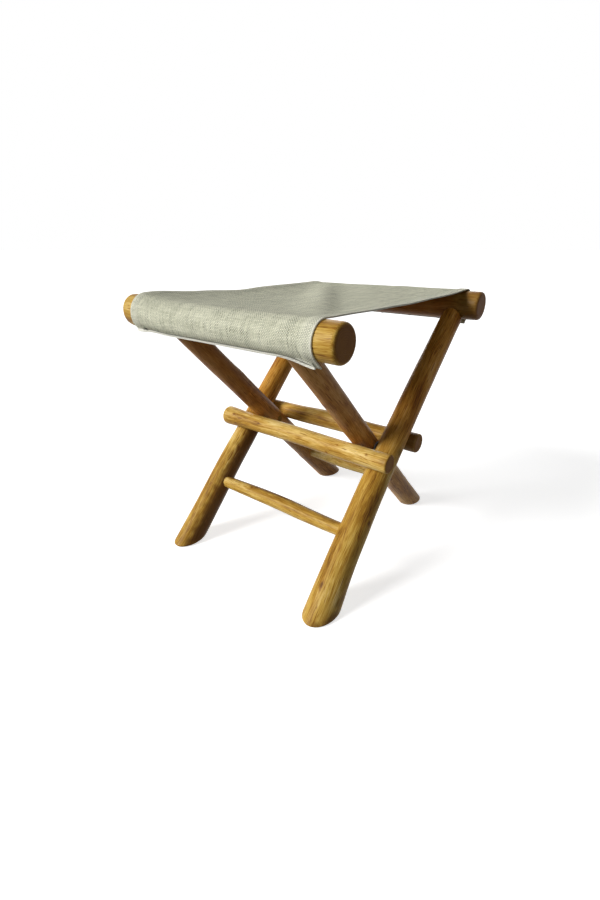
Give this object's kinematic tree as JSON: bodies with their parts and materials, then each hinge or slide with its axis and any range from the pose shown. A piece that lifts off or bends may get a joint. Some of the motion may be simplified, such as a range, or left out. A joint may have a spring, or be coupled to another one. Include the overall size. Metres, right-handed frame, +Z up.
{
  "type": "folding stool",
  "caption": "Folding stool of round wooden poles: crossed frames on a bolted pivot with stop bars and rungs, and a cloth sling seat wrapped over the rails.",
  "frame": {"origin": "on the floor, in the middle of the overall box, midway between the two seat rails", "axes": "+X along the seat rails, to the right when looking at the front, +Y from the front rail to the rear rail, +Z up"},
  "size_m": [0.382, 0.464, 0.4259],
  "materials": {
    "pole_wood": "satin varnished branch wood with fine grain and small knots",
    "plug_wood": "satin varnished turned wood",
    "linen": "coarse plain weave with slubs",
    "steel": "zinc plated"
  },
  "bodies": {
    "outer_frame": {"rear_seat_rail": "pole_wood", "outer_leg_left": "pole_wood", "outer_leg_right": "pole_wood", "front_stop_bar": "pole_wood", "front_rung": "pole_wood", "seat_sling": "linen", "pivot_bolt_left": "steel", "pivot_bolt_right": "steel", "pivot_washer_left": "steel", "pivot_washer_right": "steel", "pivot_nut_left": "steel", "pivot_nut_right": "steel", "outer_plug_left": "plug_wood", "outer_plug_right": "plug_wood", "front_bar_dowel_left": "plug_wood", "front_bar_dowel_right": "plug_wood", "rear_rail_peg_left": "plug_wood", "rear_rail_peg_right": "plug_wood", "rear_tack_1": "steel", "rear_tack_2": "steel", "rear_tack_3": "steel", "rear_tack_4": "steel", "rear_tack_5": "steel"},
    "inner_frame": {"front_seat_rail": "pole_wood", "inner_leg_left": "pole_wood", "inner_leg_right": "pole_wood", "rear_stop_bar": "pole_wood", "rear_rung": "pole_wood", "inner_plug_left": "plug_wood", "inner_plug_right": "plug_wood", "rear_bar_dowel_left": "plug_wood", "rear_bar_dowel_right": "plug_wood", "front_rail_peg_left": "plug_wood", "front_rail_peg_right": "plug_wood", "front_tack_1": "steel", "front_tack_2": "steel", "front_tack_3": "steel", "front_tack_4": "steel", "front_tack_5": "steel"}
  },
  "joints": [
    {"name": "fold", "type": "hinge", "parent": "outer_frame", "child": "inner_frame", "pos_m": [0, 0, 0.19376], "axis": [-1, 0, 0], "range_deg": [0, 77], "deforming": ["seat_sling"]}
  ]
}
